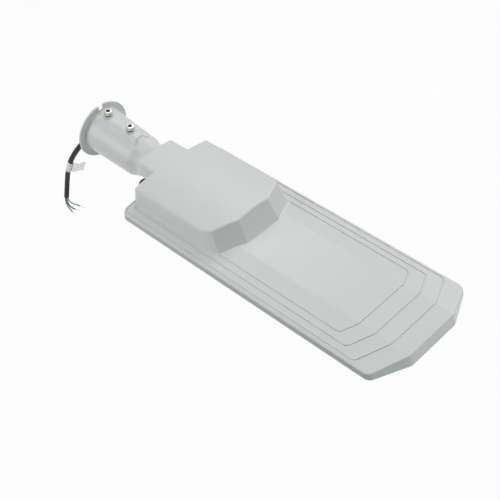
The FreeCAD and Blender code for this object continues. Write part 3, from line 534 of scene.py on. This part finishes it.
def spreadOut(stations, points, lengths, rings):
    # Where two rings share a place, one is nudged on so that the heading stays defined
    result = []
    for centre, (place, _) in zip(stations, rings):
        if len(result) > 1 and (centre - result[-1]).length < sameSpot["within"]:
            onward = (result[-1] - result[-2]).normalized() * sameSpot["onward"]
            centre = pointAt(points, lengths, place + sameSpot["along"]) + onward
        result.append(centre)
    return result


def tubeRings(points, rings, sides):
    # A tube from rings of (place along the line, radius), with each vertex's (mm along, turns round)
    lengths = distances(points)
    stations = [pointAt(points, lengths, place) for place, _ in rings]
    headings = frames(spreadOut(stations, points, lengths, rings))
    verts, along = [], []
    for (place, radius), centre, (_, side, over) in zip(rings, stations, headings):
        for k in range(sides):
            verts.append(around(centre, side, over, radius, 2 * math.pi * k / sides))
            along.append((place * 1000.0, k / sides))
    return verts, ringFaces(len(rings), sides), along


# Supply cable: out of the gland, through the socket and down to the cut end

supplyCable = {
    "route": [
        (0.1380, 0.0, -0.0008), (0.1060, 0.0, -0.0008), (0.0700, -0.0050, -0.0065),
        (0.0340, -0.0105, -0.0100), (0.0, -0.0145, -0.0120), (-0.0300, -0.0200, -0.0310),
        (-0.0530, -0.0240, -0.0610), (-0.0730, -0.0250, -0.0910), (-0.0898, -0.0243, -0.1251),
        (-0.1027, -0.0228, -0.1602), (-0.1132, -0.0227, -0.1932),
    ],
    "diameter": 0.0085,
    "sides": 28,
    "ringEvery": 0.003,
    "cutEdge": ((0.0006, 0.0), (0.0002, 0.0002), (0.0, 0.0006)),  # (before the end, in from the skin)
}


def buildSupplyCable():
    points = routePoints(supplyCable["route"])
    lengths = distances(points)
    total = lengths[-1]
    radius = supplyCable["diameter"] / 2
    count = int(total / supplyCable["ringEvery"])
    rings = [(total * i / count, radius) for i in range(count)]
    rings += [(total - before, radius - inward) for before, inward in supplyCable["cutEdge"]]
    verts, faces, _ = tubeRings(points, rings, supplyCable["sides"])
    cable = addMesh("supplyCable", verts, faces, ["cableSheath"])
    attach(cable, "root")
    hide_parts("supply_cable")
    return cable, points, total


cable, cablePoints, cableLength = buildSupplyCable()
print("supply cable", round(cableLength, 4))


# Three cores, cut back, each with a bare twisted end

cores = {
    "wireBlue": {
        "node": "wire_blue", "finish": "coreBlue", "slot": "core_blue", "bare": 0.0065,
        "route": [
            (-0.1155, -0.0236, -0.1900), (-0.1170, -0.0238, -0.2006), (-0.1157, -0.0247, -0.2092),
            (-0.1092, -0.0249, -0.2166), (-0.0978, -0.0240, -0.2256),
        ],
    },
    "wireBrown": {
        "node": "wire_brown", "finish": "coreBrown", "slot": "core_brown", "bare": 0.0080,
        "route": [
            (-0.1136, -0.0215, -0.1900), (-0.1156, -0.0217, -0.2010), (-0.1141, -0.0227, -0.2098),
            (-0.1092, -0.0212, -0.2163), (-0.1022, -0.0178, -0.2203), (-0.0965, -0.0131, -0.2216),
        ],
    },
    "wireEarth": {
        "node": "wire_earth", "finish": "coreGreenYellow", "slot": "core_green_yellow", "bare": 0.0090,
        "route": [
            (-0.1118, -0.0212, -0.1890), (-0.1140, -0.0206, -0.1985), (-0.1126, -0.0200, -0.2050),
            (-0.1082, -0.0173, -0.2095), (-0.1017, -0.0129, -0.2121), (-0.0895, -0.0061, -0.2169),
        ],
    },
}
coreSizes = {
    "diameter": 0.0027, "sides": 18, "coatRings": 26,
    "cutEdge": 0.00015, "cutInward": 0.00012, "cutFace": 0.5,
    "strand": 0.00030, "strands": 7, "strandSides": 6, "strandSteps": 40,
    "tucked": 0.001, "packing": 2.02, "lay": 0.0085,
    "flare": 1.25, "flareFrom": 0.8,
}


def strandLine(points, lengths, start, number):
    # The middle line of one strand: the first runs straight and the others wind round it
    size = coreSizes
    steps = size["strandSteps"]
    reach = lengths[-1] - start
    spread = 0.0 if number == 0 else size["strand"] * size["packing"]
    firstTurn = 2 * math.pi * number / (size["strands"] - 1)
    centres = [pointAt(points, lengths, start + reach * i / steps) for i in range(steps + 1)]
    line = []
    for i, (centre, (_, side, over)) in enumerate(zip(centres, frames(centres))):
        turn = firstTurn + 2 * math.pi * (reach * i / steps) / size["lay"]
        flare = spread * (1.0 + size["flare"] * max(0.0, i / steps - size["flareFrom"]))
        line.append(around(centre, side, over, flare, turn))
    return line


def buildCore(name, settings):
    size = coreSizes
    points = routePoints(settings["route"])
    lengths = distances(points)
    total = lengths[-1]
    radius = size["diameter"] / 2
    cut = total - settings["bare"]
    rings = [(cut * i / size["coatRings"], radius) for i in range(size["coatRings"])]
    rings += [(cut - size["cutEdge"], radius), (cut, radius - size["cutInward"]),
              (cut, radius * size["cutFace"])]
    verts, faces, along = tubeRings(points, rings, size["sides"])
    coatFaces = len(faces)
    steps = size["strandSteps"]
    for number in range(size["strands"]):
        line = strandLine(points, lengths, cut - size["tucked"], number)
        lineLength = distances(line)[-1]
        strandRings = [(lineLength * i / steps, size["strand"]) for i in range(steps + 1)]
        more, moreFaces, moreAlong = tubeRings(line, strandRings, size["strandSides"])
        faces += renumbered(moreFaces, len(verts))
        verts += more
        along += moreAlong
    wire = addMesh(name, verts, faces, [settings["finish"], "tinnedCopper"])
    for i, poly in enumerate(wire.data.polygons):
        poly.material_index = 0 if i < coatFaces else 1
    layer = wire.data.uv_layers.new(name="along")
    for loop in wire.data.loops:
        layer.data[loop.index].uv = along[loop.vertex_index]
    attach(wire, "root")
    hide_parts(settings["node"])


for coreName, coreSettings in cores.items():
    buildCore(coreName, coreSettings)
print("cores built")


# Label folded round the cable, with its flag to one side

label = {
    "node": "cable_tag",
    "between": (7, 8),  # the points of the cable's route that it sits between
    "rise": 0.0061, "lookAhead": 0.001,
    "height": 0.0285,
    "flag": 0.0255,
    "film": 0.00022, "gap": 1.2,  # the gap is in film thicknesses
    "side": (0.415, 0.880, -0.222),
    "curl": 0.0016, "curlLess": 0.4,
    "wave": 0.0004, "waves": 6.0, "waveShift": 0.5,
    "pinch": 0.0055,
    "leave": 25.0,
    "rows": 18, "flagSteps": 22, "roundSteps": 40, "overlap": 2,
}


def labelRow(centre, sideways, over, row):
    # The film runs in along the flag, round the cable and back out along the flag
    size = label
    gap = size["film"] * size["gap"]
    radius = supplyCable["diameter"] / 2 + gap
    leave = math.radians(size["leave"])
    leaveReach = radius * math.cos(leave)
    leaveHeight = radius * math.sin(leave)
    down = row / size["rows"]
    upper, lower = [], []
    for i in range(size["flagSteps"] + 1):
        far = i / size["flagSteps"]
        curl = size["curl"] * far ** 2 * (1.0 - size["curlLess"] * down)
        wave = size["wave"] * math.sin(size["waves"] * far + size["waveShift"] * down)
        drift = radius + gap - curl + wave
        upper.append(centre + sideways * (size["flag"] * far) + over * drift)
        reach = leaveReach + (size["flag"] - leaveReach) * far
        closing = eased(min(1.0, (reach - leaveReach) / size["pinch"]))
        level = leaveHeight + (drift - gap - leaveHeight) * closing
        lower.append(centre + sideways * reach + over * level)
    turns = [90 + (270 + size["leave"]) * k / size["roundSteps"] for k in range(1, size["roundSteps"])]
    middle = [around(centre, sideways, over, radius, math.radians(turn)) for turn in turns]
    return upper[::-1] + middle + lower


def buildLabel():
    before, after = (Vector(supplyCable["route"][i]) for i in label["between"])
    middle = before.lerp(after, 0.5) + (before - after).normalized() * label["rise"]
    lengths = distances(cablePoints)
    near = min(range(len(cablePoints)), key=lambda i: (cablePoints[i] - middle).length)
    chord = (after - before).normalized()
    out = Vector(label["side"])
    out = (out - chord * out.dot(chord)).normalized()
    rows = label["rows"]
    verts, faces = [], []
    for j in range(rows + 1):
        place = lengths[near] + label["height"] * (j / rows - 0.5)
        centre = pointAt(cablePoints, lengths, place)
        ahead = pointAt(cablePoints, lengths, place + label["lookAhead"])
        heading = (ahead - centre).normalized()
        sideways = (out - heading * out.dot(heading)).normalized()
        verts += labelRow(centre, sideways, heading.cross(sideways), j)
    width = len(verts) // (rows + 1)
    for j in range(rows):
        for i in range(width - 1):
            faces.append((j * width + i, j * width + i + 1, (j + 1) * width + i + 1, (j + 1) * width + i))
    tag = addMesh("cableLabel", verts, faces, ["labelFilm", "flagFilm"])
    wrapFrom = label["flagSteps"] - label["overlap"]
    wrapTo = label["flagSteps"] + label["roundSteps"]
    for poly in tag.data.polygons:
        column = poly.index % (width - 1)
        poly.material_index = int(column < wrapFrom or column > wrapTo)
    shell = tag.modifiers.new("film", "SOLIDIFY")
    shell.thickness = label["film"]
    shell.offset = 0.0
    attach(tag, "root")
    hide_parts(label["node"])
    return tag


labelPiece = buildLabel()
print("label built")


# Housing: the CAD's casting with a steeper face at the tip

housingTip = {
    "tipX": 0.6390, "ridgeHalf": 0.0450, "plateHalf": 0.1005, "setback": 0.0250,
    "baseZ": -0.0265, "topZ": -0.0095,
    "forward": 0.0040,
    "fullWithin": 0.0100, "goneBeyond": 0.0290,
}


def buildHousing():
    size = housingTip
    data = nodes["housing"].data.copy()
    data.name = "housingCasting"
    sweep = size["setback"] / (size["plateHalf"] - size["ridgeHalf"])
    for vertex in data.vertices:
        x, y, z = vertex.co
        inward = size["tipX"] - sweep * max(0.0, abs(y) - size["ridgeHalf"]) - x
        near = between(inward, size["goneBeyond"], size["fullWithin"])
        up = between(z, size["baseZ"], size["topZ"])
        vertex.co.x = x + size["forward"] * near * up
    housing = bpy.data.objects.new("housingCasting", data)
    bpy.context.scene.collection.objects.link(housing)
    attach(housing, "root")
    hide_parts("housing")


buildHousing()
print("housing built")


# Pole socket: the CAD's casting with a softer shoulder from the tube down to the neck.
# Places are along the tilted socket, and slopes and the land go by degrees from the top.

poleSocket = {
    "tilt": 4.5,
    "start": 0.0864, "end": 0.1203, "cuts": 24,
    "tubeEnd": 0.0915, "tubeRadius": 0.0332, "tubeTaper": 0.036,
    "creaseTop": 0.0965, "creaseSide": 0.0918,
    "slopes": ((0.0, 0.37), (50.0, 0.33), (90.0, 0.24), (120.0, 0.34), (140.0, 0.55), (180.0, 0.90)),
    "landRead": 0.0850, "landEnd": 0.0885, "landSlope": 0.42, "landFull": 10.0, "landGone": 26.0,
    "landSoft": 0.0006,
    "soft": 0.0008, "softFull": 0.0958, "fadeFrom": 0.1120,
    "rayStart": 0.06, "skin": 0.0003, "weld": 0.000002, "cutGrip": 0.00001,
    "sharp": 24.0,
}


def shoulderSlope(degrees):
    stops = poleSocket["slopes"]
    for (first, firstSlope), (second, secondSlope) in zip(stops, stops[1:]):
        if degrees <= second:
            return firstSlope + (secondSlope - firstSlope) * (degrees - first) / (second - first)
    return stops[-1][1]


def shoulderRadius(x, turn, cast, land):
    # The softer outside at a place along the socket, never inside the casting's own
    size = poleSocket
    degrees = abs(math.degrees(turn))
    lift = max(0.0, math.cos(turn))
    crease = size["creaseSide"] + (size["creaseTop"] - size["creaseSide"]) * lift
    tube = size["tubeRadius"] - size["tubeTaper"] * (min(x, crease) - size["tubeEnd"])
    cone = tube - shoulderSlope(degrees) * max(0.0, x - crease)
    tubeThere = size["tubeRadius"] + size["tubeTaper"] * (size["tubeEnd"] - size["landRead"])
    land = tubeThere + (land - tubeThere) * eased(between(degrees, size["landGone"], size["landFull"]))
    past = land - size["landSlope"] * max(0.0, x - size["landEnd"])
    cone = softMax(cone, past, size["landSoft"]) if x > size["tubeEnd"] else max(cone, past)
    grown = softMax(cast, cone, size["soft"] * between(x, size["creaseSide"], size["softFull"]))
    return cast + (grown - cast) * between(x, size["end"], size["fadeFrom"])


def buildPoleSocket():
    size = poleSocket
    source = nodes["spigot"]
    tilt = math.radians(size["tilt"])
    ahead = Vector((math.cos(tilt), 0.0, -math.sin(tilt)))
    upward = Vector((math.sin(tilt), 0.0, math.cos(tilt)))

    def outward(turn):
        return upward * math.cos(turn) + Vector((0.0, math.sin(turn), 0.0))

    def castRadius(x, turn):
        way = outward(turn)
        found, hit, _, _ = source.ray_cast(ahead * x + way * size["rayStart"], -way)
        return (hit - ahead * x).length if found else 0.0

    mesh = bmesh.new()
    mesh.from_mesh(source.data)
    bmesh.ops.remove_doubles(mesh, verts=mesh.verts, dist=size["weld"])
    for i in range(size["cuts"] + 1):
        x = size["start"] + (size["end"] - size["start"]) * i / size["cuts"]
        geometry = mesh.verts[:] + mesh.edges[:] + mesh.faces[:]
        bmesh.ops.bisect_plane(mesh, geom=geometry, plane_co=ahead * x, plane_no=ahead, dist=size["cutGrip"])
    for vertex in mesh.verts:
        x = vertex.co.dot(ahead)
        if not size["start"] < x < size["end"]:
            continue
        turn = math.atan2(vertex.co.y, vertex.co.dot(upward))
        radius = math.hypot(vertex.co.y, vertex.co.dot(upward))
        cast = castRadius(x, turn)
        if abs(cast - radius) > size["skin"]:  # not on the outside
            continue
        grown = shoulderRadius(x, turn, cast, castRadius(size["landRead"], turn))
        vertex.co += outward(turn) * (grown - cast)
    data = bpy.data.meshes.new("poleSocket")
    mesh.to_mesh(data)
    mesh.free()
    socket = bpy.data.objects.new("poleSocket", data)
    bpy.context.scene.collection.objects.link(socket)
    data.materials.clear()
    data.materials.append(finishes["spigotPaint"])
    for poly in data.polygons:
        poly.use_smooth = True
        poly.material_index = 0
    softenEdges(socket, size["sharp"])
    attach(socket, "root")
    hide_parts("spigot")


buildPoleSocket()
print("pole socket built")


# Clamp screws of the pole socket: knurled heads with a hex socket, cut threads.
# Heights are above the socket's middle line, and headFoot and headTop hold
# (up from the seat or down from the top, in from the head's radius).

clampScrews = {
    "tilt": poleSocket["tilt"],
    "places": (0.0200, 0.0700),
    "seat": 0.0388, "standOff": 0.0013,
    "headRadius": 0.0059, "headHeight": 0.0063,
    "headFoot": ((0.0, 0.0004), (0.0004, 0.0), (0.0009, 0.0)),
    "headTop": ((0.0014, 0.0), (0.0007, 0.0), (0.0003, 0.00018), (0.00005, 0.0006), (0.0, 0.0009)),
    "knurls": 36, "sidesPerKnurl": 3, "knurlDepth": 0.00022, "knurlFrom": 0.0012, "knurlTo": 0.0018,
    "keyAcross": 0.0058, "keyDepth": 0.0040, "keyChamfer": 0.0004, "keyCone": 0.0009, "keyConeEnd": 0.12,
    "threadRadius": 0.0040, "threadDepth": 0.00055, "pitch": 0.00125, "ringsPerPitch": 8,
    "flank": 1.5, "crest": 0.2,
    "tip": 0.0300, "tipShare": 0.72, "leadIn": 0.0006, "runOut": 0.0001,
    "sharp": 32.0,
}


def screwLevels(size, sides):
    # From the screw's tip up to the head's top, then down into the hex socket
    def ring(z, radiusAt):
        level = []
        for k in range(sides):
            turn = 2 * math.pi * k / sides
            radius = radiusAt(k, turn)
            level.append((radius * math.cos(turn), radius * math.sin(turn), z))
        return level

    def plain(radius):
        return lambda k, turn: radius

    def knurled(radius):
        return lambda k, turn: radius - (size["knurlDepth"] if k % size["sidesPerKnurl"] == 0 else 0.0)

    def threaded(z):
        def radiusAt(k, turn):
            phase = (z / size["pitch"] - turn / (2 * math.pi)) % 1.0
            groove = 1.0 - abs(2.0 * phase - 1.0)
            depth = max(0.0, min(1.0, groove * size["flank"] - size["crest"]))
            return size["threadRadius"] - size["threadDepth"] * depth
        return radiusAt

    def hexagon(across):
        def radiusAt(k, turn):
            return across / 2 / math.cos((turn + math.pi / 6) % (math.pi / 3) - math.pi / 6)
        return radiusAt

    seat, head = size["seat"] + size["standOff"], size["headRadius"]
    top = seat + size["headHeight"]
    key = size["keyAcross"]
    length = seat - size["tip"]
    levels = [ring(size["tip"], plain(size["threadRadius"] * size["tipShare"]))]
    count = int(length / size["pitch"] * size["ringsPerPitch"])
    for i in range(count + 1):
        z = size["tip"] + size["leadIn"] + (length - size["leadIn"] - size["runOut"]) * i / count
        levels.append(ring(z, threaded(z)))
    levels.append(ring(seat, plain(size["threadRadius"])))
    threadEnd = len(levels)
    levels += [ring(seat + up, plain(head - inward)) for up, inward in size["headFoot"]]
    levels += [ring(z, knurled(head)) for z in (seat + size["knurlFrom"], top - size["knurlTo"])]
    levels += [ring(top - down, plain(head - inward)) for down, inward in size["headTop"]]
    levels.append(ring(top, hexagon(key + 2 * size["keyChamfer"])))
    levels.append(ring(top - size["keyChamfer"], hexagon(key)))
    keyStart = len(levels) - 1
    levels.append(ring(top - size["keyDepth"], hexagon(key)))
    levels.append(ring(top - size["keyDepth"] - size["keyCone"], plain(key * size["keyConeEnd"])))
    return levels, threadEnd, keyStart


def buildClampScrews():
    sides = clampScrews["knurls"] * clampScrews["sidesPerKnurl"]
    tilt = math.radians(clampScrews["tilt"])
    levels, threadEnd, keyStart = screwLevels(clampScrews, sides)
    screwFaces = ringFaces(len(levels), sides)
    tipFace = (len(levels) - 1) * sides
    verts, faces = [], []
    for place in clampScrews["places"]:
        faces += renumbered(screwFaces, len(verts))
        for x, y, z in (point for level in levels for point in level):
            x += place
            verts.append((x * math.cos(tilt) + z * math.sin(tilt), y,
                          z * math.cos(tilt) - x * math.sin(tilt)))
    screws = addMesh("clampScrews", verts, faces, ["screwSteel", "screwPaintedShade"])
    # The threads and the hex socket get the near black painted shade, and the rest is plated steel
    for poly in screws.data.polygons:
        i = poly.index % len(screwFaces)
        inThread = i < threadEnd * sides
        inKey = i >= keyStart * sides and i != tipFace
        poly.material_index = int(inThread or inKey)
    softenEdges(screws, clampScrews["sharp"])
    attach(screws, "root")
    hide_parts("clamp_screws")


buildClampScrews()
print("clamp screws built")


# LED packages under the board: a white body with a domed phosphor window

ledPackages = {
    "firstX": 0.3960, "pitchX": 0.0265, "rows": 8,
    "pitchY": 0.0250, "columns": 6,
    "boardZ": -0.0206,
    "half": 0.0015, "height": 0.0007, "corner": 1.30, "bevel": 0.0001,
    "window": 0.00118, "windowStep": 0.00006,
    "dome": 0.00016, "domeRings": ((0.7, 0.7), (0.3, 1.0)),  # (share of the radius, of the height)
    "sides": 24,
    "sharp": 32.0,
}


def packageLevels(cx, cy):
    # The white body's rings and the window's, from the board down
    size = ledPackages
    turns = [2 * math.pi * (k + 0.5) / size["sides"] for k in reversed(range(size["sides"]))]

    def square(half, z):
        ring = []
        for turn in turns:
            reach = half / max(abs(math.cos(turn)), abs(math.sin(turn)))
            reach = min(reach, half * size["corner"])
            ring.append((cx + reach * math.cos(turn), cy + reach * math.sin(turn), z))
        return ring

    def disc(radius, z):
        return [(cx + radius * math.cos(turn), cy + radius * math.sin(turn), z) for turn in turns]

    low = size["boardZ"] - size["height"]
    body = [square(size["half"], size["boardZ"]), square(size["half"], low + size["bevel"]),
            square(size["half"] - size["bevel"], low), disc(size["window"] + size["bevel"], low)]
    window = [disc(size["window"], low + size["windowStep"])]
    window += [disc(size["window"] * wide, low - size["dome"] * deep) for wide, deep in size["domeRings"]]
    return body, window


def buildLedPackages():
    size = ledPackages
    sides = size["sides"]
    verts, faces, inWindow = [], [], []
    for row in range(size["rows"]):
        for column in range(size["columns"]):
            cx = size["firstX"] + size["pitchX"] * row
            cy = size["pitchY"] * (column - (size["columns"] - 1) / 2)
            body, window = packageLevels(cx, cy)
            levels = body + window
            boardFace = (len(levels) - 1) * sides
            more = ringFaces(len(levels), sides)
            inWindow += [i >= len(body) * sides and i != boardFace for i in range(len(more))]
            faces += renumbered(more, len(verts))
            verts += [point for level in levels for point in level]
    chips = addMesh("ledPackages", verts, faces, ["packageWhite", "phosphor"])
    for poly, yellow in zip(chips.data.polygons, inWindow):
        poly.material_index = int(yellow)
    softenEdges(chips, size["sharp"])
    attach(chips, "root")
    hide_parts("led_chips")


buildLedPackages()
print("LED packages built")


# Floor, light and backdrop

studio = {
    "floorHeight": -0.42,
    "floorSize": 18.0,
    "floorColour": (0.82, 0.82, 0.82),
    "floorWhite": 0.95,
    "ambient": (1.0, 1.0, 1.0),
    "ambientLevel": 0.05,
    "lamps": {
        "topSoftbox": {"place": (0.25, 0.0, 1.9), "aim": (0.3, 0.0, 0.0), "size": 1.6, "power": 14.0},
        "farSoftbox": {"place": (0.5, 1.9, 1.2), "aim": (0.3, 0.0, 0.0), "size": 1.2, "power": 20.5},
        "nearFill": {"place": (-0.6, -1.8, 0.8), "aim": (0.2, 0.0, 0.0), "size": 1.2, "power": 20.5},
        "tipSoftbox": {"place": (2.2, 0.3, 0.7), "aim": (0.3, 0.0, 0.0), "size": 1.2, "power": 8.0},
        "glintSoftbox": {"place": (-0.53, 0.89, 1.26), "aim": (0.4, 0.0, 0.0), "size": 0.5, "power": 3.9},
    },
}


def backgroundShare(tree):
    # 1 for rays from the camera and for those seen in metal or glass
    path = addNode(tree, "ShaderNodeLightPath")
    first = addNode(tree, "ShaderNodeMath", operation="MAXIMUM")
    second = addNode(tree, "ShaderNodeMath", operation="MAXIMUM")
    tree.links.new(path.outputs["Is Camera Ray"], first.inputs[0])
    tree.links.new(path.outputs["Is Glossy Ray"], first.inputs[1])
    tree.links.new(first.outputs[0], second.inputs[0])
    tree.links.new(path.outputs["Is Transmission Ray"], second.inputs[1])
    return second.outputs[0]


def mixShaders(tree, share, first, second):
    mix = addNode(tree, "ShaderNodeMixShader")
    tree.links.new(share, mix.inputs[0])
    tree.links.new(first.outputs[0], mix.inputs[1])
    tree.links.new(second.outputs[0], mix.inputs[2])
    return mix


def addWorld():
    world = bpy.data.worlds.new("studioWorld")
    world.use_nodes = True
    tree = world.node_tree
    tree.nodes.clear()
    ambient = addNode(tree, "ShaderNodeBackground", Color=(*studio["ambient"], 1.0),
                      Strength=studio["ambientLevel"])
    white = addNode(tree, "ShaderNodeBackground", Color=(1.0, 1.0, 1.0, 1.0), Strength=1.0)
    out = addNode(tree, "ShaderNodeOutputWorld")
    mix = mixShaders(tree, backgroundShare(tree), ambient, white)
    tree.links.new(mix.outputs[0], out.inputs["Surface"])
    bpy.context.scene.world = world


def addFloor():
    # Seen from below, the floor is clear, so that the lens side can be looked at
    half = studio["floorSize"] / 2
    z = studio["floorHeight"]
    corners = [(-half, -half, z), (half, -half, z), (half, half, z), (-half, half, z)]
    floor = addMesh("studioFloor", corners, [(0, 1, 2, 3)], smooth=False)
    mat = bpy.data.materials.new("paleFloor")
    mat.use_nodes = True
    tree = mat.node_tree
    tree.nodes.clear()
    matt = addNode(tree, "ShaderNodeBsdfDiffuse", Color=(*studio["floorColour"], 1.0))
    white = addNode(tree, "ShaderNodeEmission", Color=(1.0, 1.0, 1.0, 1.0), Strength=1.0)
    clear = addNode(tree, "ShaderNodeBsdfTransparent")
    surface = addNode(tree, "ShaderNodeNewGeometry")
    out = addNode(tree, "ShaderNodeOutputMaterial")
    share = addNode(tree, "ShaderNodeMath", operation="MULTIPLY")
    share.inputs[1].default_value = studio["floorWhite"]
    tree.links.new(backgroundShare(tree), share.inputs[0])
    seen = mixShaders(tree, share.outputs[0], matt, white)
    both = mixShaders(tree, surface.outputs["Backfacing"], seen, clear)
    tree.links.new(both.outputs[0], out.inputs["Surface"])
    floor.data.materials.append(mat)


def addLamps():
    for name, lamp in studio["lamps"].items():
        data = bpy.data.lights.new(name, "AREA")
        data.shape = "SQUARE"
        data.size = lamp["size"]
        data.energy = lamp["power"]
        holder = bpy.data.objects.new(name, data)
        bpy.context.scene.collection.objects.link(holder)
        holder.location = lamp["place"]
        aim = Vector(lamp["aim"]) - Vector(lamp["place"])
        holder.rotation_euler = aim.to_track_quat("-Z", "Y").to_euler()


addWorld()
addFloor()
addLamps()
bpy.context.scene.view_settings.view_transform = "Standard"
print("studio set")
